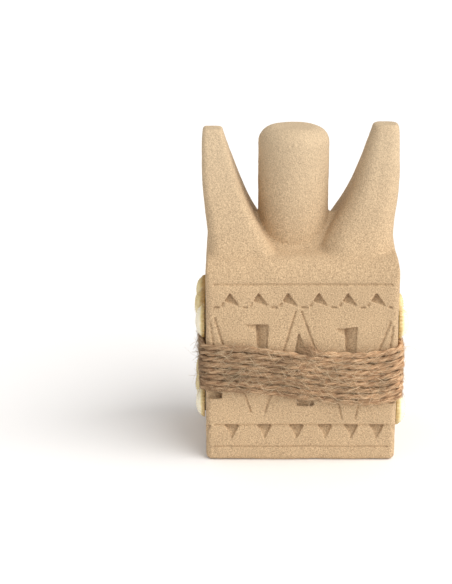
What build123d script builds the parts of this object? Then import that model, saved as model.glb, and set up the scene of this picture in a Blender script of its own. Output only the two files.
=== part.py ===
from build123d import *
import math
import os

# Carved stone figure: a block with two horns and a column head, wound with jute twine,
# with small cowrie shells stuck to both sides. Millimetres, +Z up, front face towards -Y.
# The origin is at the middle of the flat base.

# ------------------------------------------------------------------ driving dimensions
BLOCK_WIDTH = 78.0  # along X
BLOCK_DEPTH = 60.0  # along Y
EDGE_RADIUS = 2.5  # upright edges of the block
BASE_RADIUS = 2.2  # edge round the base
SHOULDER_HEIGHT = 85.0  # where the front face turns into the shoulder
SADDLE_HEIGHT = 98.6  # ridge between the head and the horns
NECK_LEFT = 38.2  # the pinch under each horn, from the middle plane
NECK_RIGHT = 37.6
HEAD_RADIUS = 14.5
HEAD_CENTRE_X = -3.1
HEAD_HEIGHT = 134.5
HEAD_ROUNDING = 6.5
HORN_TIP_ROUNDING = 1.4

GROOVE_WIDTH = 1.0
GROOVE_DEPTH = 1.5
LINE_WIDTH = 1.0
LINE_DEPTH = 1.5
FINE_WIDTH = 1.2
FINE_DEPTH = 1.1
CHIP_DEPTH = 2.6
STEP_DEPTH = 0.3  # what is left of a chip's depth where its floor runs out
PROUD = 0.6  # how far a cutting tool stands out of the face it cuts

TWINE_DIAMETER = 2.4
TWINE_GAP = 0.1  # between the twine and the stone
TURNS = 8
TAIL_STATIONS = 7  # stations that the last, unfinished turn passes
TAIL_END_X = 5.2  # where the twine's end is tucked in, on the front
TAIL_RISE = 0.5

SHELL_STAND_OFF = 0.6  # thickness of the glue under a shell
SHELL_WIDTH = 10.0
SHELL_ROUNDING = 0.72  # of the shell's height
SLIT_WIDTH = 0.9
SLIT_DEPTH = 1.3
TOOTH_PITCH = 1.15
TOOTH_GAP = 0.45
TOOTH_REACH = 3.0
TOOTH_DEPTH = 0.45

HALF_WIDTH = BLOCK_WIDTH / 2
HALF_DEPTH = BLOCK_DEPTH / 2


# ------------------------------------------------------------------ stone: rough shape
def core():
    """The block with its sloping shoulders, as the part that three outlines share."""
    ridge, foot, foot_height = 1.8, 15.0, 86.8
    side_points = [
        (-HALF_DEPTH, 0),
        (-HALF_DEPTH, SHOULDER_HEIGHT),
        (-foot, foot_height),
        (-ridge, SADDLE_HEIGHT),
        (ridge, SADDLE_HEIGHT),
        (foot, foot_height),
        (HALF_DEPTH, SHOULDER_HEIGHT),
        (HALF_DEPTH, 0),
    ]
    side_radii = [0, 9, 9, 2, 2, 9, 9, 0]
    side_line = FilletPolyline(*side_points, radius=side_radii, close=True)
    side = extrude(Plane.YZ * make_face(side_line), amount=BLOCK_WIDTH, both=True)

    front_points = [
        (-HALF_WIDTH, 0),
        (-HALF_WIDTH, 79),
        (-NECK_LEFT, 90),
        (-NECK_LEFT, 110),
        (NECK_RIGHT, 110),
        (NECK_RIGHT, 90),
        (HALF_WIDTH, 79),
        (HALF_WIDTH, 0),
    ]
    front_radii = [0, 40, 40, 0, 0, 40, 40, 0]
    front_line = FilletPolyline(*front_points, radius=front_radii, close=True)
    front = extrude(Plane.XZ * make_face(front_line), amount=BLOCK_DEPTH, both=True)

    plan = extrude(RectangleRounded(BLOCK_WIDTH, BLOCK_DEPTH, EDGE_RADIUS), amount=120)
    block = side & front & plan
    base_edges = block.edges().group_by(Axis.Z)[0]
    return fillet(base_edges, BASE_RADIUS)


def head():
    """The column head with its rounded top."""
    foot_height = SHOULDER_HEIGHT - 5
    column = Pos(HEAD_CENTRE_X, 0, foot_height) * extrude(
        Circle(HEAD_RADIUS), amount=HEAD_HEIGHT - foot_height
    )
    return fillet(column.edges().group_by(Axis.Z)[-1], HEAD_ROUNDING)


# Sections of each horn, from the shoulder up:
# height, distance of its outer and of its inner face from the middle plane, half its depth.
LEFT_HORN = [
    (79.0, 38.0, 4.0, 28.0),
    (88.0, 38.1, 12.2, 22.6),
    (97.0, 38.6, 18.0, 18.4),
    (106.0, 39.8, 22.6, 14.9),
    (115.0, 40.5, 26.2, 11.6),
    (124.0, 40.6, 29.3, 8.3),
    (133.8, 40.2, 32.4, 4.8),
]
RIGHT_HORN = [
    (79.0, 37.2, 2.0, 28.0),
    (88.4, 37.3, 8.0, 22.4),
    (97.8, 37.9, 14.1, 18.2),
    (107.2, 39.2, 19.5, 14.5),
    (116.6, 39.9, 23.3, 11.0),
    (126.0, 39.9, 26.3, 7.9),
    (135.5, 39.4, 29.4, 5.0),
]


def horn(sections, side, roundness):
    """A tapering horn on one side (-1 left, 1 right), as a loft through its sections."""
    outlines = []
    for height, outer, inner, half_depth in sections:
        width = outer - inner
        corner = roundness * min(width, 2 * half_depth)
        outline = RectangleRounded(width, 2 * half_depth, corner)
        outlines.append(Pos(side * (outer + inner) / 2, 0, height) * outline)
    solid = loft(outlines)
    return fillet(solid.edges().group_by(Axis.Z)[-1], HORN_TIP_ROUNDING)


# ------------------------------------------------------------------ stone: carving
# Each face has its own plane, whose X runs along the face, Y upwards and Z outwards.
FRONT = Plane(origin=(0, -HALF_DEPTH, 0), x_dir=(1, 0, 0), z_dir=(0, -1, 0))
BACK = Plane(origin=(0, HALF_DEPTH, 0), x_dir=(-1, 0, 0), z_dir=(0, 1, 0))
RIGHT = Plane(origin=(HALF_WIDTH, 0, 0), x_dir=(0, 1, 0), z_dir=(1, 0, 0))
LEFT = Plane(origin=(-HALF_WIDTH, 0, 0), x_dir=(0, -1, 0), z_dir=(-1, 0, 0))

UPPER_GROOVE = 75.9
UPPER_ROW_TOP = 72.6
UPPER_ROW_FOOT = 66.3
LOWER_ROW_TOP = 15.6
LOWER_ROW_FOOT = 8.6
LOWER_GROOVE = 6.0
UPPER_NOTCHES = [-29.3, -17.8, -6.0, 6.3, 18.0, 29.4]
LOWER_NOTCHES = [-28.8, -15.4, -2.3, 9.5, 20.2, 30.7]
SIDE_NOTCHES = [-24.0, -12.2, 0.3, 11.8, 23.8]
UPPER_NOTCH_LEFT = 2.2
UPPER_NOTCH_RIGHT = 4.4
UPPER_NOTCH_DROP = 3.8
TOOTH_FOOT_LEFT = 3.6
LOWER_NOTCH_LEFT = 2.9
LOWER_NOTCH_RIGHT = 3.4


def facets(top, floor):
    """A closed solid between two outlines that have the same number of corners."""
    faces = [Face(Wire.make_polygon(top)), Face(Wire.make_polygon(floor))]
    for i in range(len(top)):
        j = (i + 1) % len(top)
        faces.append(Face(Wire.make_polygon([top[i], top[j], floor[j], floor[i]])))
    return Solid(Shell(faces))


def chip(outline, depths):
    """What one chip takes out: walls straight in from the outline, down to a flat sloping floor.

    depths are those at the first three corners, and the floor's plane gives the others."""
    (u0, v0), (u1, v1), (u2, v2) = outline[:3]
    d0, d1, d2 = depths
    cross = (u1 - u0) * (v2 - v0) - (u2 - u0) * (v1 - v0)
    across = ((d1 - d0) * (v2 - v0) - (d2 - d0) * (v1 - v0)) / cross
    up = ((u1 - u0) * (d2 - d0) - (u2 - u0) * (d1 - d0)) / cross
    top = [Vector(u, v, PROUD) for u, v in outline]
    floor = [Vector(u, v, -(d0 + across * (u - u0) + up * (v - v0))) for u, v in outline]
    return facets(top, floor)


def cut_line(start, end, width=LINE_WIDTH, depth=LINE_DEPTH):
    """What a straight V-shaped cut takes out, running out at both ends."""
    run = (Vector(*end) - Vector(*start)).normalized()
    across = Vector(-run.Y, run.X) * (width / 2 * (1 + PROUD / depth))
    run_out = run * min(1.0, (Vector(*end) - Vector(*start)).length / 4)
    lift, keel = Vector(0, 0, PROUD), Vector(0, 0, -depth)
    a, b = Vector(*start), Vector(*end)
    left = [a + across + lift, b + across + lift]
    right = [a - across + lift, b - across + lift]
    bottom = [a + run_out + keel, b - run_out + keel]
    faces = [
        Face(Wire.make_polygon([left[0], left[1], right[1], right[0]])),
        Face(Wire.make_polygon([left[0], left[1], bottom[1], bottom[0]])),
        Face(Wire.make_polygon([right[0], right[1], bottom[1], bottom[0]])),
        Face(Wire.make_polygon([left[0], right[0], bottom[0]])),
        Face(Wire.make_polygon([left[1], right[1], bottom[1]])),
    ]
    return Solid(Shell(faces))


def upper_notch(u):
    """A notch between two hanging teeth and the dome below, running out at its lower right."""
    corners = [
        (u + UPPER_NOTCH_RIGHT, UPPER_ROW_FOOT),
        (u, UPPER_ROW_TOP),
        (u - UPPER_NOTCH_LEFT, UPPER_ROW_TOP - UPPER_NOTCH_DROP),
        (u + 0.7, UPPER_ROW_TOP - 4.6),
    ]
    return chip(corners, [STEP_DEPTH, CHIP_DEPTH, 2.0])


def lower_notch(u):
    """A notch between two standing domes, deepest along its top and running out at its foot."""
    corners = [
        (u - LOWER_NOTCH_LEFT, LOWER_ROW_TOP),
        (u + LOWER_NOTCH_RIGHT, LOWER_ROW_TOP),
        (u, LOWER_ROW_FOOT),
        (u - 0.2, LOWER_ROW_TOP - 4.7),
        (u - 0.9, LOWER_ROW_TOP - 2.4),
    ]
    return chip(corners, [CHIP_DEPTH, 1.9, STEP_DEPTH])


def tooth_feet(notches, ends):
    """Fine cuts along the feet of the hanging teeth, and up to the notch at their right."""
    cuts = []
    starts = [-ends] + [u + UPPER_NOTCH_RIGHT for u in notches]
    stops = [u - TOOTH_FOOT_LEFT for u in notches] + [ends]
    for start, stop in zip(starts, stops):
        cuts.append(cut_line((start, UPPER_ROW_FOOT), (stop, UPPER_ROW_FOOT), FINE_WIDTH, FINE_DEPTH))
    for u in notches:
        low = (u - TOOTH_FOOT_LEFT, UPPER_ROW_FOOT)
        high = (u - UPPER_NOTCH_LEFT, UPPER_ROW_TOP - UPPER_NOTCH_DROP)
        cuts.append(cut_line(low, high, FINE_WIDTH, FINE_DEPTH))
    return cuts


def bands(notches_above, notches_below, half_length):
    """The two bands of notches with their grooves, for a face of this half length."""
    ends = half_length - 2.6
    cuts = [
        cut_line((-ends, UPPER_GROOVE), (ends, UPPER_GROOVE), GROOVE_WIDTH, GROOVE_DEPTH),
        cut_line((-ends, LOWER_GROOVE), (ends, LOWER_GROOVE), GROOVE_WIDTH, GROOVE_DEPTH),
        cut_line((-ends, LOWER_ROW_TOP), (ends, LOWER_ROW_TOP), FINE_WIDTH, FINE_DEPTH),
    ]
    cuts += tooth_feet(notches_above, ends)
    cuts += [upper_notch(u) for u in notches_above]
    cuts += [lower_notch(u) for u in notches_below]
    return cuts


def corner_chips(half_length):
    """Halves of the lower notches that straddle the upright edges."""
    out = half_length + 1.0
    cuts = []
    for side in (-1, 1):
        inner = side * (half_length - 2.2)
        outline = [
            (inner, LOWER_ROW_TOP),
            (side * out, LOWER_ROW_TOP),
            (side * out, LOWER_ROW_FOOT),
        ]
        cuts.append(chip(outline, [1.6, 2.2, 1.2]))
    return cuts


def window(left, right, top_left, top_right, foot, arm):
    """A T-shaped notch: a slot that rises from its left wall to the right, and a left arm."""
    slot = [(left, top_left), (right, top_right), (right - 0.4, foot), (left + 0.8, foot)]
    bar = [(left - arm, top_left), (left + 0.2, top_left), (left + 0.2, top_left - 3.0)]
    return [
        chip(slot, [CHIP_DEPTH + 0.8, 1.2, STEP_DEPTH]),
        chip(bar, [STEP_DEPTH, 2.4, 0.9]),
    ]


def middle_pattern():
    """The wide middle band: pointed figures and T-shaped notches, and the same below, inverted."""
    cuts = []
    # the pointed figure in the middle, and its halves at the upright edges
    cuts.append(cut_line((-2.6, 65.4), (-8.7, 43.5)))
    cuts.append(cut_line((-0.7, 65.2), (7.0, 43.5)))
    cuts.append(chip([(-1.6, 56.0), (-3.4, 43.5), (3.4, 43.5)], [1.2, CHIP_DEPTH + 0.4, STEP_DEPTH]))
    cuts.append(cut_line((-35.6, 62.6), (-30.2, 43.5)))
    cuts.append(cut_line((-37.3, 60.5), (-35.2, 43.5), FINE_WIDTH, FINE_DEPTH))
    cuts.append(cut_line((35.8, 60.8), (29.6, 43.5)))
    cuts.append(cut_line((36.6, 59.0), (35.0, 43.5), FINE_WIDTH, FINE_DEPTH))
    # the T-shaped notches
    cuts += window(-18.8, -13.8, 59.1, 59.1, 44.0, 5.0)
    cuts += window(16.9, 22.2, 57.4, 58.2, 44.0, 4.3)
    # below the winding: feet of the notches, and the inverted pointed figures
    feet = [
        (-40.0, -32.4, 27.2, [1.8, 3.4, 2.8]),
        (-1.9, 5.2, 24.1, [3.4, 3.0, 1.4]),
        (35.6, 40.0, 25.0, [3.2, 3.2, 2.4]),
    ]
    for left, right, foot, depths in feet:
        outline = [(left, 36.0), (right, 36.0), (right, foot), (left, foot)]
        cuts.append(chip(outline, depths))
    for low_left, low_right, tip in [(-24.7, -10.8, 20.6), (13.4, 25.4, 17.6)]:
        middle = (low_left + low_right) / 2
        cuts.append(cut_line((low_left, 34.0), (middle - 2.6, tip)))
        cuts.append(cut_line((low_right, 34.0), (middle + 2.6, tip)))
    return cuts


def carving():
    """Every cut of all four faces, in place."""
    main = bands(UPPER_NOTCHES, LOWER_NOTCHES, HALF_WIDTH)
    main += corner_chips(HALF_WIDTH) + middle_pattern()
    side = bands(SIDE_NOTCHES, SIDE_NOTCHES, HALF_DEPTH)
    placed = [face * cut for face in (FRONT, BACK) for cut in main]
    placed += [face * cut for face in (LEFT, RIGHT) for cut in side]
    return placed


def stone_body():
    """The whole stone: block, head and horns in one solid, with every cut taken out."""
    rough = core() + head() + horn(LEFT_HORN, -1, 0.2) + horn(RIGHT_HORN, 1, 0.36)
    return rough - carving()


# ------------------------------------------------------------------ twine
# Heights of the lowest strand of the winding at each station of a turn, and the pitch there.
# The winding climbs from the back, passes the front from right to left, and is tucked in there.
OUT = TWINE_DIAMETER / 2 + TWINE_GAP
STATIONS = [
    # x, y, height, pitch
    (31.0, HALF_DEPTH + OUT, 29.2, 2.51),
    (HALF_WIDTH + OUT, HALF_DEPTH + OUT, 29.3, 2.52),
    (HALF_WIDTH + OUT, 22.0, 29.1, 2.51),
    (HALF_WIDTH + OUT, -22.0, 27.9, 2.55),
    (HALF_WIDTH + OUT, -HALF_DEPTH - OUT, 28.9, 2.58),
    (31.0, -HALF_DEPTH - OUT, 26.2, 2.58),
    (16.0, -HALF_DEPTH - OUT, 26.6, 2.52),
    (2.0, -HALF_DEPTH - OUT, 28.2, 2.48),
    (-14.0, -HALF_DEPTH - OUT, 30.9, 2.50),
    (-31.0, -HALF_DEPTH - OUT, 32.1, 2.52),
    (-HALF_WIDTH - OUT, -HALF_DEPTH - OUT, 32.5, 2.50),
    (-HALF_WIDTH - OUT, -22.0, 31.4, 2.50),
    (-HALF_WIDTH - OUT, 22.0, 31.8, 2.50),
    (-HALF_WIDTH - OUT, HALF_DEPTH + OUT, 31.7, 2.50),
    (-31.0, HALF_DEPTH + OUT, 31.9, 2.50),
    (-6.0, HALF_DEPTH + OUT, 30.9, 2.51),
]
CORNER_RADIUS = EDGE_RADIUS + OUT
BEND_RADIUS = 12.0


def twine_route():
    """The winding's corner points, and the radius of its bend at each inner one."""
    points = [(-6.0, HALF_DEPTH + OUT, 28.5)]
    for turn in range(TURNS + 1):
        points += [(x, y, height + turn * pitch) for x, y, height, pitch in STATIONS]
    kept = points[: 1 + TURNS * len(STATIONS) + TAIL_STATIONS]
    end = (TAIL_END_X, -HALF_DEPTH - OUT, kept[-1][2] + TAIL_RISE)
    route = kept + [end]
    radii = []
    for x, y, _ in route[1:-1]:
        at_edge = abs(x) > HALF_WIDTH and abs(y) > HALF_DEPTH
        radii.append(CORNER_RADIUS if at_edge else BEND_RADIUS)
    return route, radii


def twine_winding():
    """The twine, as one round tube along its whole route."""
    route, radii = twine_route()
    path = FilletPolyline(*route, radius=radii)
    section = Plane(origin=path @ 0, z_dir=path % 0) * Circle(TWINE_DIAMETER / 2)
    tube = sweep(section, path=path)
    expected = math.pi * TWINE_DIAMETER**2 / 4 * path.length
    print("twine length", round(path.length, 1), "volume", round(tube.volume, 1), round(expected, 1))
    print("twine bend radii", sorted(set(radii)))
    return tube


# ------------------------------------------------------------------ cowrie shells
# Middle height, length and height over the glue of each shell, from the front to the rear.
ROWS = {"front": -20.0, "middle": -0.5, "rear": 19.5}
SHELLS = {
    ("left", "upper"): [(57.6, 14.2, 3.6), (58.6, 14.6, 4.3), (58.6, 14.0, 4.0)],
    ("left", "lower"): [(22.6, 14.0, 3.6), (23.2, 14.0, 4.1), (22.6, 14.4, 4.3)],
    ("right", "upper"): [(57.0, 13.8, 4.3), (58.0, 14.4, 4.3), (58.6, 14.2, 4.1)],
    ("right", "lower"): [(19.2, 14.4, 4.3), (19.8, 14.0, 4.2), (20.4, 14.4, 4.0)],
}


def cowrie(length, height):
    """A small cowrie with its back ground flat: slit and teeth outwards (+X), back at X = 0."""
    outline = Plane.YZ * Ellipse(SHELL_WIDTH / 2, length / 2)
    dome = extrude(outline, amount=height)
    dome = fillet(dome.edges().group_by(Axis.X)[-1], SHELL_ROUNDING * height)
    cuts = [Pos(height, 0, 0) * Box(2 * SLIT_DEPTH, SLIT_WIDTH, 0.78 * length)]
    teeth = int(0.32 * length / TOOTH_PITCH)
    for i in range(-teeth, teeth + 1):
        notch = Box(2 * TOOTH_DEPTH, TOOTH_REACH, TOOTH_GAP)
        cuts.append(Pos(height, 0, i * TOOTH_PITCH) * notch)
    return dome - cuts


def shell_and_glue(side, y, height_up, length, height):
    """One shell and the dab of glue under it, in place on a side face."""
    turn = Rot(0, 0, 180) if side == "left" else Rot(0, 0, 0)
    sign = -1 if side == "left" else 1
    shell = Pos(sign * (HALF_WIDTH + SHELL_STAND_OFF), y, height_up) * turn * cowrie(length, height)
    pad = extrude(Plane.YZ * Ellipse(0.3 * SHELL_WIDTH, 0.3 * length), amount=SHELL_STAND_OFF)
    return shell, Pos(sign * HALF_WIDTH, y, height_up) * turn * pad


# ------------------------------------------------------------------ output
def main():
    os.makedirs("parts", exist_ok=True)
    nodes = {"stone_body": stone_body(), "twine_winding": twine_winding()}
    for (side, row), shells in SHELLS.items():
        for (place, y), (height_up, length, height) in zip(ROWS.items(), shells):
            shell, glue = shell_and_glue(side, y, height_up, length, height)
            nodes[f"cowrie_{side}_{row}_{place}"] = shell
            nodes[f"glue_{side}_{row}_{place}"] = glue
    for name, shape in nodes.items():
        export_step(shape, f"parts/{name}.step")


main()
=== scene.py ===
"""A carved sandstone figure, wound with jute twine, with cowrie shells glued to both sides."""
import logging
import math
import random
from collections.abc import Iterable, Sequence
from dataclasses import dataclass
from enum import Enum

import bmesh
import bpy
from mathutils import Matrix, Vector, noise


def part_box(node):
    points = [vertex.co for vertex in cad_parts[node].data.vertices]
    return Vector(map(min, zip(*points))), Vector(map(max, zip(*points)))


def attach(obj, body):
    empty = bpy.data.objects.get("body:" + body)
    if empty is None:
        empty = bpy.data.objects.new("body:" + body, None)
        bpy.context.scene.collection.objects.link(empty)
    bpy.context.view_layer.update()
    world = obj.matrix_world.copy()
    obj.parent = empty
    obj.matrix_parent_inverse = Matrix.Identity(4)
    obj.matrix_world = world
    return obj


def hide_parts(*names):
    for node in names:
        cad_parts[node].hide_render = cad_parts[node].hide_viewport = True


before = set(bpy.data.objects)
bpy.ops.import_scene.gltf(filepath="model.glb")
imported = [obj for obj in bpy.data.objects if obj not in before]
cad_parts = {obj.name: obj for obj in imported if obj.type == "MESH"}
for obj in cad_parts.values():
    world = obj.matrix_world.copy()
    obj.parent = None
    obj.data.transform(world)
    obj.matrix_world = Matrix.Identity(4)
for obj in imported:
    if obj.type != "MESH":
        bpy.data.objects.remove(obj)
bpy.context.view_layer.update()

LOG = logging.getLogger("figure")
MM = 0.001
UP = Vector((0.0, 0.0, 1.0))
SMOOTHING = 0.5  # how far one round of smoothing moves a vertex
LEAST_WEIGHT = 0.004  # a modifier leaves vertices of less weight alone


class Slot(Enum):
    """Names of the figure's material slots."""

    STONE = "stone"
    TWINE = "twine"
    SHELL = "shell"
    GLUE = "glue"


# ------------------------------------------------------------------ small helpers
def linear(hex_colour: str) -> tuple[float, float, float, float]:
    """Turns an sRGB hex colour into linear light.

    Args:
        hex_colour: Six hex digits, such as "d8b48c".

    Returns:
        Red, green, blue and alpha, each from 0 to 1.
    """
    values = [int(hex_colour[i : i + 2], 16) / 255 for i in (0, 2, 4)]
    bent = [v / 12.92 if v <= 0.04045 else ((v + 0.055) / 1.055) ** 2.4 for v in values]
    return bent[0], bent[1], bent[2], 1.0


def per_mm(size: float) -> float:
    """The scale of a texture whose features are this many millimetres wide."""
    return 1.0 / (size * MM)


def ramp(low: float, high: float, value: float) -> float:
    """A smooth step from 0 at low to 1 at high."""
    t = min(1.0, max(0.0, (value - low) / (high - low)))
    return t * t * (3.0 - 2.0 * t)


def add_node(tree: bpy.types.NodeTree, kind: str, links: dict | None = None,
             **settings: object) -> bpy.types.Node:
    """Adds one node, with its settings and its inputs.

    Args:
        tree: The tree that gets the node.
        kind: The node's type name.
        links: For each input, by name or number, the socket linked to it or its value.
        **settings: The node's own properties.

    Returns:
        The new node.
    """
    node = tree.nodes.new(kind)
    for name, value in settings.items():
        setattr(node, name, value)
    for key, value in (links or {}).items():
        if isinstance(value, bpy.types.NodeSocket):
            tree.links.new(value, node.inputs[key])
        else:
            node.inputs[key].default_value = value
    return node


def evaluated(piece: bpy.types.Object) -> bpy.types.Mesh:
    """A new mesh of a piece as its modifiers or its bevel leave it."""
    depsgraph = bpy.context.evaluated_depsgraph_get()
    return bpy.data.meshes.new_from_object(piece.evaluated_get(depsgraph), depsgraph=depsgraph)


def count_triangles(mesh: bpy.types.Mesh) -> int:
    """How many triangles a mesh's faces make."""
    return sum(len(polygon.vertices) - 2 for polygon in mesh.polygons)


def finished_mesh(name: str, form: bmesh.types.BMesh) -> bpy.types.Mesh:
    """Makes a mesh from a bmesh.

    Args:
        name: The mesh's name.
        form: The bmesh, which is used up.

    Returns:
        The mesh.
    """
    mesh = bpy.data.meshes.new(name)
    form.to_mesh(mesh)
    form.free()
    return mesh


def link_object(name: str, data: bpy.types.ID) -> bpy.types.Object:
    """Puts a new object in the scene, at the origin.

    Args:
        name: The object's name.
        data: Its mesh, curve, light or camera.

    Returns:
        The object.
    """
    made = bpy.data.objects.new(name, data)
    bpy.context.scene.collection.objects.link(made)
    return made


def mesh_of_curve(curve: bpy.types.Curve) -> bpy.types.Mesh:
    """Makes a mesh of a curve, with its bevel where it has one.

    Args:
        curve: The curve.

    Returns:
        The mesh.
    """
    holder = link_object("holder", curve)
    mesh = evaluated(holder)
    bpy.data.objects.remove(holder)
    return mesh


def modified(mesh: bpy.types.Mesh, kind: str, weights: Sequence[float] | None = None,
             **settings: object) -> bpy.types.Mesh:
    """Puts a mesh through one modifier.

    Args:
        mesh: The mesh, which is used up.
        kind: The modifier's type.
        weights: How far the modifier acts on each vertex, or None for everywhere.
        **settings: The modifier's own properties.

    Returns:
        The modified mesh.
    """
    holder = link_object("holder", mesh)
    if weights is not None:
        group = holder.vertex_groups.new(name="weights")
        for index, weight in enumerate(weights):
            if weight > LEAST_WEIGHT:
                group.add([index], weight, "REPLACE")
        settings["vertex_group"] = group.name
    modifier = holder.modifiers.new(kind.lower(), kind)
    for name, value in settings.items():
        setattr(modifier, name, value)
    result = evaluated(holder)
    bpy.data.objects.remove(holder)
    bpy.data.meshes.remove(mesh)
    return result


def place_piece(name: str, mesh: bpy.types.Mesh, material: bpy.types.Material,
                replaced: Iterable[str] = ()) -> bpy.types.Object:
    """Makes a finished mesh into a piece of the figure.

    Args:
        name: The piece's name.
        mesh: Its mesh, already in place.
        material: What it is made of.
        replaced: The CAD nodes that it stands for.

    Returns:
        The piece.
    """
    mesh.materials.clear()
    mesh.materials.append(material)
    mesh.shade_smooth()
    piece = link_object(name, mesh)
    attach(piece, "root")
    for node in replaced:
        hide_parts(node)
    LOG.info("%s: %d triangles of %s", name, count_triangles(mesh), material.name)
    return piece


def start_material(name: str) -> tuple[bpy.types.Material, bpy.types.NodeTree, bpy.types.Node]:
    """Makes a new material with only its output.

    Args:
        name: The material's name, for what it is and how it was made.

    Returns:
        The material, its tree and its output node.
    """
    material = bpy.data.materials.new(name)
    material.use_nodes = True
    tree = material.node_tree
    tree.nodes.clear()
    return material, tree, add_node(tree, "ShaderNodeOutputMaterial")


# ------------------------------------------------------------------ finishes
@dataclass(frozen=True)
class CastSandstone:
    """Sand bound with a little resin and carved: dry, matt, with grains that show.

    The cuts and dents are darker with painted shade, and the top is paler with painted light.
    """

    light: str = "dabd97"
    dark: str = "9a8064"
    # painted shade: the colour that the cuts and dents are darkened towards
    hollow_shade: str = "80634a"
    speck: str = "755c43"
    # painted light: the upper parts are lightened towards this colour, more so the higher they
    # are
    painted_top_light: str = "d4c7ae"
    grain: float = 0.5
    pit: float = 1.3
    cloud: float = 14.0
    top_light_from: float = 82.0
    top_light_full: float = 128.0
    roughness: float = 0.95

    def build(self) -> bpy.types.Material:
        """Builds the material.

        Returns:
            A material on Object coordinates, which also reads the mesh's attribute of painted
            shade in the cuts.
        """
        material, tree, output = start_material("sandstone_carved")
        place = add_node(tree, "ShaderNodeTexCoord").outputs["Object"]
        grain = add_node(tree, "ShaderNodeTexNoise", {
            "Vector": place, "Scale": per_mm(self.grain), "Detail": 2.0, "Roughness": 0.7})
        clouds = add_node(tree, "ShaderNodeTexNoise", {
            "Vector": place, "Scale": per_mm(self.cloud), "Detail": 3.0, "Roughness": 0.6})
        pits = add_node(tree, "ShaderNodeTexNoise", {
            "Vector": place, "Scale": per_mm(self.pit), "Detail": 2.0, "Roughness": 0.6})
        specks = add_node(tree, "ShaderNodeTexVoronoi", {
            "Vector": place, "Scale": per_mm(self.pit)}, feature="F1")
        # the mask of painted shade in the cuts and dents
        hollow_shade = add_node(tree, "ShaderNodeAttribute", attribute_name="hollow_shade")

        spread = add_node(tree, "ShaderNodeMapRange", {
            "Value": grain.outputs["Fac"], "From Min": 0.30, "From Max": 0.66})
        tone = add_node(tree, "ShaderNodeMix", {
            0: spread.outputs["Result"], 6: linear(self.dark), 7: linear(self.light)},
            data_type="RGBA")
        spotted = add_node(tree, "ShaderNodeMapRange", {
            "Value": specks.outputs["Distance"], "From Min": 0.13, "From Max": 0.05,
            "To Max": 0.55})
        with_specks = add_node(tree, "ShaderNodeMix", {
            0: spotted.outputs["Result"], 6: tone.outputs[2], 7: linear(self.speck)},
            data_type="RGBA")
        shade = add_node(tree, "ShaderNodeMapRange", {
            "Value": clouds.outputs["Fac"], "From Min": 0.3, "From Max": 0.7,
            "To Min": 0.94, "To Max": 1.05})
        clouded = add_node(tree, "ShaderNodeVectorMath", {
            0: with_specks.outputs[2], "Scale": shade.outputs["Result"]}, operation="SCALE")
        # painted light: paler towards the top, rising with height
        level = add_node(tree, "ShaderNodeSeparateXYZ", {0: place})
        top_light_mask = add_node(tree, "ShaderNodeMapRange", {
            "Value": level.outputs["Z"], "From Min": self.top_light_from * MM,
            "From Max": self.top_light_full * MM, "To Max": 0.3})
        top_lightened = add_node(tree, "ShaderNodeMix", {
            0: top_light_mask.outputs["Result"], 6: clouded.outputs["Vector"], 7: linear(self.painted_top_light)},
            data_type="RGBA")
        # painted shade: cuts and dents darkened by the mask
        depth = add_node(tree, "ShaderNodeMapRange", {
            "Value": hollow_shade.outputs["Fac"], "From Min": 0.05, "From Max": 1.0, "To Max": 0.85})
        colour = add_node(tree, "ShaderNodeMix", {
            0: depth.outputs["Result"], 6: top_lightened.outputs[2], 7: linear(self.hollow_shade)},
            data_type="RGBA")

        height = add_node(tree, "ShaderNodeMath", {
            0: pits.outputs["Fac"], 1: 1.4, 2: grain.outputs["Fac"]}, operation="MULTIPLY_ADD")
        bump = add_node(tree, "ShaderNodeBump", {
            "Height": height.outputs["Value"], "Strength": 0.55, "Distance": self.grain * MM})
        shader = add_node(tree, "ShaderNodeBsdfPrincipled", {
            "Base Color": colour.outputs[2], "Normal": bump.outputs["Normal"],
            "Roughness": self.roughness, "Specular IOR Level": 0.25})
        tree.links.new(shader.outputs["BSDF"], output.inputs["Surface"])
        return material


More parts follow.
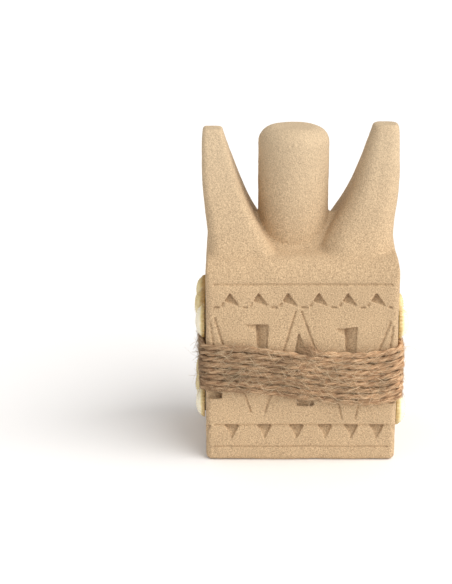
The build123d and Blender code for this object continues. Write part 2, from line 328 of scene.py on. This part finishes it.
@dataclass(frozen=True)
class JuteFibre:
    """Raw jute spun into yarn: long dull fibres from brown to straw, lighter towards +X with
    painted light.
    """

    name: str = "jute_spun"
    dark: str = "6f4e35"
    middle: str = "b08b69"
    light: str = "e8cba4"
    fibre_width: float = 0.16
    fibre_run: float = 5.0
    fuzz_width: float = 0.5
    patch: float = 6.0
    girth: float = 4.3
    length: float = 2390.0
    # painted light: the yarn goes from darker at -X to lighter at +X across this distance each
    # way
    side_light_reach: float = 42.0
    roughness: float = 0.85

    def build(self) -> bpy.types.Material:
        """Builds the material.

        Returns:
            A material on the yarn's own UV map, whose X runs along the yarn.
        """
        material, tree, output = start_material(self.name)
        coordinates = add_node(tree, "ShaderNodeTexCoord")
        along = self.length / self.fibre_run
        across = self.girth / self.fibre_width
        strands = add_node(tree, "ShaderNodeMapping", {
            "Vector": coordinates.outputs["UV"], "Scale": (along, across, 1.0)})
        fibres = add_node(tree, "ShaderNodeTexNoise", {
            "Vector": strands.outputs["Vector"], "Scale": 1.0, "Detail": 3.0,
            "Roughness": 0.65})
        patches = add_node(tree, "ShaderNodeTexNoise", {
            "Vector": coordinates.outputs["Object"], "Scale": per_mm(self.patch),
            "Detail": 3.0})
        fuzz = add_node(tree, "ShaderNodeTexNoise", {
            "Vector": coordinates.outputs["Object"], "Scale": per_mm(self.fuzz_width),
            "Detail": 2.0})
        spread = add_node(tree, "ShaderNodeMapRange", {
            "Value": fibres.outputs["Fac"], "From Min": 0.37, "From Max": 0.64})
        yarn = add_node(tree, "ShaderNodeValToRGB", {"Fac": spread.outputs["Result"]})
        stops = yarn.color_ramp.elements
        stops[0].color, stops[1].color = linear(self.dark), linear(self.light)
        stops.new(0.45).color = linear(self.middle)
        shade = add_node(tree, "ShaderNodeMapRange", {
            "Value": patches.outputs["Fac"], "From Min": 0.3, "From Max": 0.7,
            "To Min": 0.78, "To Max": 1.15})
        # painted light: lighter towards +X, darker towards -X
        place = add_node(tree, "ShaderNodeSeparateXYZ", {0: coordinates.outputs["Object"]})
        painted_side_light = add_node(tree, "ShaderNodeMapRange", {
            "Value": place.outputs["X"], "From Min": -self.side_light_reach * MM,
            "From Max": self.side_light_reach * MM, "To Min": 0.80, "To Max": 1.30})
        tone = add_node(tree, "ShaderNodeMath", {
            0: shade.outputs["Result"], 1: painted_side_light.outputs["Result"]}, operation="MULTIPLY")
        colour = add_node(tree, "ShaderNodeVectorMath", {
            0: yarn.outputs["Color"], "Scale": tone.outputs["Value"]}, operation="SCALE")
        height = add_node(tree, "ShaderNodeMath", {
            0: fuzz.outputs["Fac"], 1: 0.6, 2: fibres.outputs["Fac"]},
            operation="MULTIPLY_ADD")
        bump = add_node(tree, "ShaderNodeBump", {
            "Height": height.outputs["Value"], "Strength": 0.7,
            "Distance": 1.5 * self.fibre_width * MM})
        shader = add_node(tree, "ShaderNodeBsdfPrincipled", {
            "Base Color": colour.outputs["Vector"], "Normal": bump.outputs["Normal"],
            "Roughness": self.roughness, "Specular IOR Level": 0.3})
        tree.links.new(shader.outputs["BSDF"], output.inputs["Surface"])
        return material


@dataclass(frozen=True)
class CowrieNacre:
    """The naturally glazed shell of a small cowrie: smooth and glossy, cream to ochre, darkened
    in places by painted shade.
    """

    crown: str = "f4ead0"
    flank: str = "e4d096"
    # the darkest colour: the rim's ochre, and painted shade
    ochre_and_shade: str = "ae8846"
    mottle: float = 2.2
    roughness: float = 0.22

    def build(self) -> bpy.types.Material:
        """Builds the material.

        Returns:
            A material on Object coordinates, which also reads the mesh's attribute of rim ochre,
            stain and painted shade.
        """
        material, tree, output = start_material("cowrie_glazed")
        place = add_node(tree, "ShaderNodeTexCoord").outputs["Object"]
        # the attribute of rim ochre and stain, with painted shade near the stone, in the slit and
        # between the teeth
        ochre_and_shade = add_node(tree, "ShaderNodeAttribute", attribute_name="ochre_and_shade")
        mottle = add_node(tree, "ShaderNodeTexNoise", {
            "Vector": place, "Scale": per_mm(self.mottle), "Detail": 3.0})
        uneven = add_node(tree, "ShaderNodeMath", {
            0: mottle.outputs["Fac"], 1: 0.36, 2: ochre_and_shade.outputs["Fac"]},
            operation="MULTIPLY_ADD")
        bands = add_node(tree, "ShaderNodeValToRGB", {"Fac": uneven.outputs["Value"]})
        stops = bands.color_ramp.elements
        stops[0].color, stops[1].color = linear(self.crown), linear(self.ochre_and_shade)
        stops[0].position, stops[1].position = 0.32, 0.92
        stops.new(0.55).color = linear(self.flank)
        bump = add_node(tree, "ShaderNodeBump", {
            "Height": mottle.outputs["Fac"], "Strength": 0.12, "Distance": 0.1 * MM})
        shader = add_node(tree, "ShaderNodeBsdfPrincipled", {
            "Base Color": bands.outputs["Color"], "Normal": bump.outputs["Normal"],
            "Roughness": self.roughness, "Subsurface Weight": 0.12,
            "Subsurface Radius": (1.0, 0.8, 0.5), "Subsurface Scale": 0.8 * MM,
            "Coat Weight": 0.35, "Coat Roughness": 0.12, "IOR": 1.53})
        tree.links.new(shader.outputs["BSDF"], output.inputs["Surface"])
        return material


@dataclass(frozen=True)
class HotMeltGlue:
    """Hot-melt glue pressed flat while warm: milky amber, with a dull shine."""

    body: str = "d9c79a"
    thin: str = "b9955c"
    ripple: float = 1.6
    roughness: float = 0.38

    def build(self) -> bpy.types.Material:
        """Builds the material.

        Returns:
            A material on Object coordinates.
        """
        material, tree, output = start_material("hot_melt_glue_pressed")
        place = add_node(tree, "ShaderNodeTexCoord").outputs["Object"]
        ripple = add_node(tree, "ShaderNodeTexNoise", {
            "Vector": place, "Scale": per_mm(self.ripple), "Detail": 2.0})
        colour = add_node(tree, "ShaderNodeMix", {
            0: ripple.outputs["Fac"], 6: linear(self.thin), 7: linear(self.body)},
            data_type="RGBA")
        bump = add_node(tree, "ShaderNodeBump", {
            "Height": ripple.outputs["Fac"], "Strength": 0.4, "Distance": 0.3 * MM})
        shader = add_node(tree, "ShaderNodeBsdfPrincipled", {
            "Base Color": colour.outputs[2], "Normal": bump.outputs["Normal"],
            "Roughness": self.roughness, "Subsurface Weight": 0.2,
            "Subsurface Scale": 0.6 * MM, "IOR": 1.48})
        tree.links.new(shader.outputs["BSDF"], output.inputs["Surface"])
        return material


@dataclass(frozen=True)
class StudioPaper:
    """Seamless white paper: matt, with only a trace of unevenness."""

    white: str = "fcfbfb"
    dull: str = "faf9f9"
    cloud: float = 90.0

    def build(self) -> bpy.types.Material:
        """Builds the material.

        Returns:
            A material on Object coordinates.
        """
        material, tree, output = start_material("studio_paper_matt")
        place = add_node(tree, "ShaderNodeTexCoord").outputs["Object"]
        tooth = add_node(tree, "ShaderNodeTexNoise", {
            "Vector": place, "Scale": per_mm(self.cloud)})
        colour = add_node(tree, "ShaderNodeMix", {
            0: tooth.outputs["Fac"], 6: linear(self.dull), 7: linear(self.white)},
            data_type="RGBA")
        shader = add_node(tree, "ShaderNodeBsdfPrincipled", {
            "Base Color": colour.outputs[2], "Roughness": 0.8, "Specular IOR Level": 0.2})
        tree.links.new(shader.outputs["BSDF"], output.inputs["Surface"])
        return material


# ------------------------------------------------------------------ stone
@dataclass
class StoneBody:
    """The carved block with its horns and head, softened and roughened as sandstone is."""

    weld: float = 0.005
    voxel: float = 0.34
    triangles: int = 192_000
    # the blend at the shoulders: where it starts, is full, fades and ends, going up
    blend_from: float = 79.0
    blend_full: float = 86.0
    blend_out: float = 98.0
    blend_end: float = 108.0
    blend_fade: float = 0.94
    blend_rounds: int = 42
    wear_rounds: int = 3
    # the width and the depth of each kind of unevenness
    waves: tuple[tuple[float, float], ...] = ((16.0, 0.22), (5.0, 0.09), (1.3, 0.05))
    # the attribute of painted shade: small dents everywhere, and the carved recesses by their
    # depth
    hollow_rounds: int = 16
    hollow_least: float = 0.05
    hollow_depth: float = 0.35
    hollow_share: float = 0.8
    carved_below: float = 80.0
    side_margin: float = 1.2
    recess_depth: float = 3.9
    recess_power: float = 1.7

    def blended(self, mesh: bpy.types.Mesh) -> bpy.types.Mesh:
        """Lets the head and the horns run into the shoulders, and rubs every edge a little.

        Args:
            mesh: The even mesh of the stone, which is used up.

        Returns:
            The softened mesh.
        """
        weights = []
        for vertex in mesh.vertices:
            height = vertex.co.z / MM
            rising = ramp(self.blend_from, self.blend_full, height)
            falling = 1.0 - self.blend_fade * ramp(self.blend_out, self.blend_end, height)
            weights.append(rising * falling)
        soft = modified(mesh, "SMOOTH", weights, factor=SMOOTHING, iterations=self.blend_rounds)
        return modified(soft, "SMOOTH", factor=SMOOTHING, iterations=self.wear_rounds)

    def roughened(self, mesh: bpy.types.Mesh) -> bpy.types.Mesh:
        """Moves each vertex a little along its normal: hand-cut waviness and lost grains.

        Args:
            mesh: The mesh, changed in place.

        Returns:
            The same mesh.
        """
        normals = [vertex.normal.copy() for vertex in mesh.vertices]
        for vertex, normal in zip(mesh.vertices, normals):
            place = vertex.co.copy()
            shift = sum(depth * noise.noise(place * per_mm(size)) for size, depth in self.waves)
            vertex.co = place + normal * (shift * MM)
            vertex.co.z = max(vertex.co.z, 0.0)
        return mesh

    def marked(self, mesh: bpy.types.Mesh) -> bpy.types.Mesh:
        """Adds the attribute of painted shade: 1 in the bottom of a cut, 0 on faces and edges.

        Args:
            mesh: The finished mesh, changed in place.

        Returns:
            The same mesh.
        """
        low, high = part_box("stone_body")
        half_depth = (high.y - low.y) / 2
        half_width = min(high.x, -low.x) - self.side_margin * MM
        smooth = modified(mesh.copy(), "SMOOTH", factor=SMOOTHING, iterations=self.hollow_rounds)
        # painted shade: darker in dents and in the carved recesses
        hollow_shade = mesh.attributes.new("hollow_shade", "FLOAT", "POINT")
        for index, vertex in enumerate(mesh.vertices):
            depth = (smooth.vertices[index].co - vertex.co).dot(vertex.normal)
            value = ramp(self.hollow_least, 1.0, depth / (self.hollow_depth * MM))
            if vertex.co.z < self.carved_below * MM:
                inset = min(half_depth - abs(vertex.co.y), half_width - abs(vertex.co.x))
                recess = min(1.0, max(0.0, inset / (self.recess_depth * MM)))
                value = max(self.hollow_share * value, recess ** self.recess_power)
            hollow_shade.data[index].value = value
        bpy.data.meshes.remove(smooth)
        return mesh

    def build(self, material: bpy.types.Material) -> bpy.types.Object:
        """Builds the stone from a copy of its CAD node.

        Args:
            material: The sandstone.

        Returns:
            The stone piece.
        """
        form = bmesh.new()
        form.from_mesh(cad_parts["stone_body"].data)
        bmesh.ops.remove_doubles(form, verts=form.verts, dist=self.weld * MM)
        mesh = finished_mesh("stone", form)
        mesh = modified(mesh, "REMESH", mode="VOXEL", voxel_size=self.voxel * MM)
        mesh = self.roughened(self.blended(mesh))
        share = min(1.0, self.triangles / count_triangles(mesh))
        mesh = modified(mesh, "DECIMATE", ratio=share)
        return place_piece("stone", self.marked(mesh), material, ["stone_body"])


# ------------------------------------------------------------------ twine
# The stations of one turn of the winding: x, y, height of the lowest strand, pitch.
FRONT_Y, REAR_Y, SIDE_X = -31.3, 31.3, 40.3
STATIONS = (
    (31.0, REAR_Y, 29.2, 2.51),
    (SIDE_X, REAR_Y, 29.3, 2.52),
    (SIDE_X, 22.0, 29.1, 2.51),
    (SIDE_X, -22.0, 27.9, 2.55),
    (SIDE_X, FRONT_Y, 28.9, 2.58),
    (31.0, FRONT_Y, 26.2, 2.58),
    (16.0, FRONT_Y, 26.6, 2.52),
    (2.0, FRONT_Y, 28.2, 2.48),
    (-14.0, FRONT_Y, 30.9, 2.50),
    (-31.0, FRONT_Y, 32.1, 2.52),
    (-SIDE_X, FRONT_Y, 32.5, 2.50),
    (-SIDE_X, -22.0, 31.4, 2.50),
    (-SIDE_X, 22.0, 31.8, 2.50),
    (-SIDE_X, REAR_Y, 31.7, 2.50),
    (-31.0, REAR_Y, 31.9, 2.50),
    (-6.0, REAR_Y, 30.9, 2.51),
)


HAIR_POINTS = 7
HAIR_THINNING = 0.6  # how much thinner a fibre's tip is than its root


@dataclass
class PathPoint:
    """A point of the winding's middle line, with its directions and its length so far."""

    place: Vector
    along: Vector
    out: Vector
    run: float


@dataclass
class TwineWinding:
    """Two-ply jute twine wound on the block, with its stray fibres and its frayed end."""

    turns: int = 8
    start: tuple[float, float, float] = (-6.0, REAR_Y, 28.5)
    tail_points: int = 7
    tail_end_x: float = 5.2
    tail_rise: float = 0.5
    resolution: int = 24
    step: float = 0.78
    # how far the twine strays from its route: distance, length of the wave, row of the noise
    stray_up: tuple[tuple[float, float, float], ...] = ((0.42, 19.0, 3.1), (0.16, 5.0, 7.7))
    stray_out: tuple[float, float, float] = (0.38, 13.0, 11.3)
    stand_off: float = 0.22
    # the two plies, twisted once in each lay
    lay: float = 11.5
    ply_radius: float = 0.78
    ply_offset: float = 0.50
    lobes: int = 5
    lobe_depth: float = 0.09
    section_points: int = 14
    fibre_twist: float = 0.35
    uneven_lay: tuple[float, float, float] = (1.2, 37.0, 19.0)
    slub: float = 0.16
    slub_length: float = 7.0
    tip_length: float = 6.0
    tip_radius: float = 0.25
    # loose fibres: how many, how thick and how long
    seed: int = 11
    stray_count: int = 2600
    stray_radius: float = 0.075
    stray_length: tuple[float, float] = (2.0, 8.5)
    splinter_share: float = 0.16
    edge_ahead: int = 9
    edge_turn: float = 0.97
    edge_share: float = 0.35
    lying_count: int = 850
    lying_radius: float = 0.095
    lying_stride: int = 3
    lying_points: tuple[int, int] = (5, 11)
    frayed_count: int = 120
    frayed_radius: float = 0.11
    frayed_length: tuple[float, float] = (2.5, 8.0)

    def route(self) -> list[Vector]:
        """The control points of the whole winding, from the rear to its tucked end in front."""
        points = [Vector(self.start)]
        for turn in range(self.turns + 1):
            points += [Vector((x, y, height + turn * pitch)) for x, y, height, pitch in STATIONS]
        kept = points[: 1 + self.turns * len(STATIONS) + self.tail_points]
        return kept + [Vector((self.tail_end_x, FRONT_Y, kept[-1].z + self.tail_rise))]

    def middle_line(self) -> list[PathPoint]:
        """Reads evenly spaced points from the smooth curve through the route.

        Returns:
            The winding's middle line, a step apart.
        """
        points = self.route()
        curve = bpy.data.curves.new("route", "CURVE")
        curve.dimensions = "3D"
        curve.resolution_u = self.resolution
        spline = curve.splines.new("NURBS")
        spline.points.add(len(points) - 1)
        for point, place in zip(spline.points, points):
            point.co = (*(place * MM), 1.0)
        spline.order_u = 3
        spline.use_endpoint_u = True
        mesh = mesh_of_curve(curve)
        read = [vertex.co / MM for vertex in mesh.vertices]
        bpy.data.meshes.remove(mesh)
        line, run, due = [], 0.0, 0.0
        for start, end in zip(read, read[1:]):
            length = (end - start).length
            while length > 0 and due <= run + length:
                place = start.lerp(end, (due - run) / length)
                along = (end - start).normalized()
                line.append(PathPoint(place, along, UP.cross(along).normalized(), due))
                due += self.step
            run += length
        return line

    @staticmethod
    def wave(run: float, size: float, length: float, row: float) -> float:
        """Smooth noise of about this size along the twine, its waves about this long."""
        return size * noise.noise(Vector((run / length, row, 0.0)))

    def wander(self, point: PathPoint) -> Vector:
        """How far the twine strays from its middle line at a point, up and outwards.

        Args:
            point: The point of the middle line.

        Returns:
            The shift in millimetres.
        """
        up = sum(self.wave(point.run, *wave) for wave in self.stray_up)
        out = self.stand_off + self.wave(point.run, *self.stray_out)
        return UP * up + point.out * out

    def section(self) -> bpy.types.Object:
        """Makes the outline of one ply: a circle with the ridges of its fibres.

        Returns:
            The outline's curve object, removed once the plies are made.
        """
        curve = bpy.data.curves.new("section", "CURVE")
        curve.dimensions = "2D"
        spline = curve.splines.new("POLY")
        spline.points.add(self.section_points - 1)
        for index, point in enumerate(spline.points):
            angle = 2 * math.pi * index / self.section_points
            radius = self.ply_radius * (1 + self.lobe_depth * math.cos(self.lobes * angle))
            point.co = (radius * math.cos(angle) * MM, radius * math.sin(angle) * MM, 0.0, 1.0)
        spline.use_cyclic_u = True
        return link_object("section", curve)

    def ply(self, curve: bpy.types.Curve, line: Sequence[PathPoint], phase: float) -> None:
        """Adds one ply to a curve, twisted about the middle line.

        Args:
            curve: The curve that gets the ply.
            line: The winding's middle line.
            phase: Where the ply starts round the twine, in radians.
        """
        spline = curve.splines.new("POLY")
        spline.points.add(len(line) - 1)
        end = line[-1].run
        for point, target in zip(line, spline.points):
            slip = self.wave(point.run, *self.uneven_lay)
            angle = phase + 2 * math.pi * point.run / self.lay + slip
            lumps = Vector((point.run / self.slub_length, phase * 3.0, 5.0))
            slub = 1 + self.slub * noise.noise(lumps)
            near_end = 1.0 - ramp(0.0, self.tip_length, min(point.run, end - point.run))
            taper = 1.0 - (1.0 - self.tip_radius) * near_end
            spread = self.ply_offset * (UP * math.cos(angle) + point.out * math.sin(angle))
            place = point.place + self.wander(point) + spread * taper
            target.co = (*(place * MM), 1.0)
            target.radius = slub * taper
            target.tilt = self.fibre_twist * point.run

    def strands(self, line: Sequence[PathPoint], material: bpy.types.Material) -> None:
        """Builds the twine itself, as two plies along the whole winding.

        Args:
            line: The winding's middle line.
            material: The spun jute.
        """
        section = self.section()
        curve = bpy.data.curves.new("plies", "CURVE")
        curve.dimensions = "3D"
        curve.bevel_mode = "OBJECT"
        curve.bevel_object = section
        curve.use_fill_caps = True
        for phase in (0.0, math.pi):
            self.ply(curve, line, phase)
        mesh = mesh_of_curve(curve)
        bpy.data.objects.remove(section)
        place_piece("twine", mesh, material, ["twine_winding"])

    @staticmethod
    def hair(curve: bpy.types.Curve, root: Vector, heading: Vector, bend: Vector,
             length: float, thickness: float) -> None:
        """Adds one fibre to a curve, as a bent line that thins towards its tip.

        Args:
            curve: The curve that gets the fibre.
            root: Where it starts, in millimetres.
            heading: Its direction at the start.
            bend: Which way it curls, and how far in millimetres.
            length: Its length in millimetres.
            thickness: How thick it is, as a share of the curve's bevel.
        """
        spline = curve.splines.new("POLY")
        last = HAIR_POINTS - 1
        spline.points.add(last)
        for index, point in enumerate(spline.points):
            t = index / last
            place = root + heading * (length * t) + bend * (t * t)
            point.co = (*(place * MM), 1.0)
            point.radius = thickness * (1.0 - HAIR_THINNING * t)

    def fineness(self, dice: random.Random) -> float:
        """How thick one stray fibre is, as a share of the bevel: fine, or a coarse splinter.

        Args:
            dice: The random draws.

        Returns:
            The share.
        """
        coarse = dice.random() < self.splinter_share
        return dice.uniform(1.5, 2.3) if coarse else dice.uniform(0.6, 1.4)

    @staticmethod
    def hair_curve(name: str, radius: float) -> bpy.types.Curve:
        """Makes an empty curve whose lines become thin four-sided fibres.

        Args:
            name: The curve's name.
            radius: A fibre's radius in millimetres.

        Returns:
            The curve.
        """
        curve = bpy.data.curves.new(name, "CURVE")
        curve.dimensions = "3D"
        curve.bevel_depth = radius * MM
        curve.bevel_resolution = 0
        return curve

    def stray_fibres(self, line: Sequence[PathPoint], material: bpy.types.Material) -> None:
        """Builds the fine fibres that stand off the twine all round.

        Args:
            line: The winding's middle line.
            material: The single fibres.
        """
        dice = random.Random(self.seed)
        curve = self.hair_curve("stray", self.stray_radius)
        for _ in range(self.stray_count):
            index, side = dice.randrange(len(line)), dice.choice((-1, 1))
            point = line[index]
            ahead = line[min(max(index + self.edge_ahead * side, 0), len(line) - 1)]
            straight = ahead.along.dot(point.along) > self.edge_turn
            room = 1.0 if straight else self.edge_share
            heading = point.along * side * dice.uniform(0.2, 1.0)
            heading += UP * dice.gauss(0.0, 0.45) + point.out * dice.uniform(0.02, 0.40)
            root = point.place + point.out * dice.uniform(0.9, 1.35)
            root += UP * dice.uniform(-0.9, 0.9)
            length = room * dice.uniform(*self.stray_length)
            bend = UP * dice.gauss(0.0, 2.0) - point.out * dice.uniform(0.0, 0.28) * length
            self.hair(curve, root, heading.normalized(), bend * room, length, self.fineness(dice))
        place_piece("twine_stray_fibres", mesh_of_curve(curve), material)

    def lying_fibres(self, line: Sequence[PathPoint], material: bpy.types.Material) -> None:
        """Builds the coarser loose fibres that lie along the strands and over their gaps.

        Args:
            line: The winding's middle line.
            material: The spun jute.
        """
        dice = random.Random(self.seed + 2)
        curve = self.hair_curve("lying", self.lying_radius)
        stride, (least, most) = self.lying_stride, self.lying_points
        for _ in range(self.lying_count):
            count = dice.randrange(least, most)
            start = dice.randrange(len(line) - stride * most)
            low, high = dice.uniform(-1.4, 1.4), dice.uniform(-1.4, 1.4)
            out, sway = dice.uniform(1.05, 1.5), dice.uniform(-0.7, 0.7)
            thickness = dice.uniform(0.45, 1.25)
            spline = curve.splines.new("POLY")
            spline.points.add(count - 1)
            for index, target in enumerate(spline.points):
                point, t = line[start + stride * index], index / (count - 1)
                hump = 4 * t * (1 - t)
                across = low + (high - low) * t + sway * hump
                place = point.place + self.wander(point) + UP * across
                place += point.out * (out - 0.12 * across * across - 0.35 * (1 - hump))
                target.co = (*(place * MM), 1.0)
                target.radius = thickness * (0.5 + 0.5 * hump)
        place_piece("twine_lying_fibres", mesh_of_curve(curve), material)

    def frayed_end(self, line: Sequence[PathPoint], material: bpy.types.Material) -> None:
        """Builds the tuft where the twine's end is tucked in, at the middle of the front.

        Args:
            line: The winding's middle line.
            material: The spun jute.
        """
        dice = random.Random(self.seed + 1)
        curve = self.hair_curve("frayed", self.frayed_radius)
        tip = line[-1]
        for _ in range(self.frayed_count):
            root = tip.place + UP * dice.uniform(-0.7, 1.0) + tip.out * dice.uniform(0.1, 1.2)
            root += tip.along * dice.uniform(-3.0, 1.0)
            heading = tip.along * dice.uniform(0.5, 1.0) + UP * dice.gauss(0.12, 0.30)
            heading += tip.out * dice.uniform(-0.05, 0.15)
            length = dice.uniform(*self.frayed_length)
            bend = UP * dice.gauss(-0.4, 1.3) - tip.out * dice.uniform(0.2, 0.9)
            self.hair(curve, root, heading.normalized(), bend, length, dice.uniform(0.5, 1.3))
        place_piece("twine_frayed_end", mesh_of_curve(curve), material)

    def build(self, yarn: bpy.types.Material, hair: bpy.types.Material) -> None:
        """Builds the twine, its stray fibres and its frayed end.

        Args:
            yarn: The spun jute.
            hair: The single fibres.
        """
        line = self.middle_line()
        LOG.info("winding: %.0f mm of twine", line[-1].run)
        self.strands(line, yarn)
        self.lying_fibres(line, yarn)
        self.stray_fibres(line, hair)
        self.frayed_end(line, yarn)


# ------------------------------------------------------------------ shells
@dataclass
class Cowrie:
    """One small cowrie with its back ground off, slit outwards."""

    node: str
    seed: int
    # the shell's ochre stain, and painted shade on the shells behind the front row
    stain_and_shade: float = 0.0
    # how far the rim goes towards ochre: the rim's own colour, and painted shade where the shell
    # meets the stone
    rim_ochre_and_shade: float = 0.6
    around: int = 132
    rings: int = 76
    # the outline: wider at one end, with fine ribs round the rim
    egg_taper: float = 0.09
    egg_round: float = 0.06
    crown_power: float = 0.92
    ribs: int = 26
    rib_depth: float = 0.026
    unevenness: float = 0.02
    inset: float = 0.03
    # the mouth: a bowed slit between two lips with teeth
    slit_depth: float = 1.3
    slit_width: float = 0.5
    slit_bow: float = 0.55
    slit_aside: float = 0.2
    lip: float = 0.35
    lip_from_slit: float = 1.25
    lip_width: float = 0.7
    tooth_pitch: float = 1.1
    tooth_height: float = 0.17

    def shape(self, unit: Vector, half_width: float, half_length: float,
              height: float) -> tuple[Vector, float]:
        """Where a point of the unit ball goes on the shell, and how far its colour goes towards
        ochre there.

        Args:
            unit: A point of the unit ball, X outwards.
            half_width: Half the shell's width in millimetres.
            half_length: Half its length in millimetres.
            height: Its height in millimetres.

        Returns:
            The place in millimetres, and the colour value from 0 at the crown to 1: the rim's
            ochre and the stain, with painted shade near the stone, in the slit and between the
            teeth.
        """
        outwards = max(0.0, unit.x)
        egg = 1.0 + self.egg_taper * unit.z - self.egg_round * unit.z * unit.z
        across, along = unit.y * half_width * egg, unit.z * half_length
        up = height * outwards ** self.crown_power
        near_rim = 1.0 - ramp(0.08, 0.80, outwards)
        angle = math.atan2(unit.z, unit.y)
        rib = self.rib_depth * near_rim * math.cos(self.ribs * angle + self.seed)
        lumps = Vector((2.5 * unit.y, 2.5 * unit.z, self.seed))
        rib += self.unevenness * near_rim * noise.noise(lumps)
        across, along = across * (1.0 + rib - self.inset), along * (1.0 + rib - self.inset)
        slit_at = self.slit_bow * math.sin(2.2 * unit.z + 0.4) - self.slit_aside
        off = across - slit_at
        middle = 1.0 - ramp(0.70, 0.92, abs(unit.z))
        faced = ramp(0.2, 0.5, outwards)
        valley = math.exp(-((off / self.slit_width) ** 2))
        lips = math.exp(-(((abs(off) - self.lip_from_slit) / self.lip_width) ** 2))
        comb = ramp(0.25, 0.6, abs(off)) * (1.0 - ramp(1.5, 2.7, abs(off)))
        teeth = math.cos(2 * math.pi * along / self.tooth_pitch)
        up += middle * faced * (self.lip * lips - self.slit_depth * valley)
        up += middle * faced * comb * self.tooth_height * teeth
        # painted shade: darker in the slit and between the teeth
        groove_shade = middle * faced * max(0.9 * valley, 0.35 * comb * max(0.0, -teeth))
        # the stain and the rim's ochre, partly painted shade on the shells behind the front row
        # and where the rim meets the stone
        tint_and_shade = self.stain_and_shade + (1.0 - self.stain_and_shade) * self.rim_ochre_and_shade * near_rim
        up -= 0.6 * self.lip * faced
        return Vector((up, across, along)), max(tint_and_shade, groove_shade)

    def build(self, material: bpy.types.Material) -> bpy.types.Object:
        """Builds the shell inside the box of its CAD node.

        Args:
            material: The glazed shell.

        Returns:
            The shell piece.
        """
        low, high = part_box(self.node)
        size, middle = (high - low) / MM, (low + high) / 2
        side = 1.0 if middle.x > 0 else -1.0
        ground = Vector((low.x if side > 0 else high.x, middle.y, middle.z))
        form = bmesh.new()
        bmesh.ops.create_uvsphere(form, u_segments=self.around, v_segments=self.rings, radius=1.0)
        ochre_and_shade_layer = form.verts.layers.float.new("ochre_and_shade")
        flip = -1.0 if self.seed % 2 else 1.0
        for vertex in form.verts:
            unit = Vector((vertex.co.x, vertex.co.y * side, vertex.co.z * flip))
            # near_rim here is the colour value: the rim's ochre and the stain, with painted shade
            place, near_rim = self.shape(unit, size.y / 2, size.z / 2, size.x)
            vertex[ochre_and_shade_layer] = near_rim
            vertex.co = ground + Vector((side * place.x, side * place.y, flip * place.z)) * MM
        bmesh.ops.recalc_face_normals(form, faces=form.faces)
        name = self.node.replace("cowrie", "shell")
        mesh = finished_mesh(name, form)
        return place_piece(name, mesh, material, [self.node])


# ------------------------------------------------------------------ studio
@dataclass
class Studio:
    """White paper floor, even white surroundings, one large soft light, and the camera."""

    floor_reach: float = 80.0  # metres each way
    floor_cells: int = 8
    surroundings: float = 0.62
    key_strength: float = 2.9
    key_spread: float = 70.0
    key_from: tuple[float, float, float] = (0.66, -0.42, 0.62)
    camera_at: tuple[float, float, float] = (-30.8, -603.8, 248.3)
    camera_down: float = 17.0
    lens: float = 92.5
    air: str = "fffefc"
    lamp: str = "fffdfa"

    def build(self, paper: bpy.types.Material) -> None:
        """Builds the floor, the light and the camera.

        Args:
            paper: The floor's material.
        """
        form = bmesh.new()
        bmesh.ops.create_grid(form, x_segments=self.floor_cells, y_segments=self.floor_cells,
                              size=self.floor_reach)
        mesh = finished_mesh("floor", form)
        mesh.materials.append(paper)
        link_object("floor", mesh)

        world = bpy.data.worlds.new("surroundings")
        world.use_nodes = True
        background = world.node_tree.nodes["Background"]
        background.inputs["Color"].default_value = linear(self.air)
        background.inputs["Strength"].default_value = self.surroundings
        bpy.context.scene.world = world

        light = bpy.data.lights.new("key", "SUN")
        light.energy = self.key_strength
        light.angle = math.radians(self.key_spread)
        light.color = linear(self.lamp)[:3]
        lamp = link_object("key", light)
        lamp.rotation_euler = (-Vector(self.key_from)).to_track_quat("-Z", "Y").to_euler()

        camera = bpy.data.cameras.new("camera")
        camera.lens = self.lens
        camera.clip_start = 0.01
        viewer = link_object("camera", camera)
        viewer.location = Vector(self.camera_at) * MM
        viewer.rotation_euler = (math.radians(90.0 - self.camera_down), 0.0, 0.0)
        bpy.context.scene.camera = viewer
        bpy.context.scene.view_settings.view_transform = "Standard"


# ------------------------------------------------------------------ the figure
OCHRE_AND_SHADE_BEHIND = 0.42  # ochre stain and painted shade of the shells that aren't in the front row


def dress(node: str, material: bpy.types.Material) -> None:
    """Gives a CAD node that stays its material.

    Args:
        node: The node's name.
        material: What it is made of.
    """
    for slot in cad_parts[node].material_slots:
        slot.material = material
    LOG.info("%s: kept, in %s", node, material.name)


def main() -> None:
    """Builds the studio and every piece of the figure, in order."""
    logging.basicConfig(level=logging.INFO, format="%(message)s")
    Studio().build(StudioPaper().build())
    hair = JuteFibre(name="jute_single_fibres", dark="b0926e", middle="d6ba94", light="f3e4c8")
    TwineWinding().build(JuteFibre().build(), hair.build())
    StoneBody().build(CastSandstone().build())
    nacre, glue = CowrieNacre().build(), HotMeltGlue().build()
    for index, node in enumerate(sorted(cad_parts)):
        if node.startswith("cowrie_"):
            stain_and_shade = 0.0 if node.endswith("_front") else OCHRE_AND_SHADE_BEHIND
            Cowrie(node, seed=index, stain_and_shade=stain_and_shade).build(nacre)
        elif node.startswith("glue_"):
            dress(node, glue)


if __name__ == "__main__":
    main()
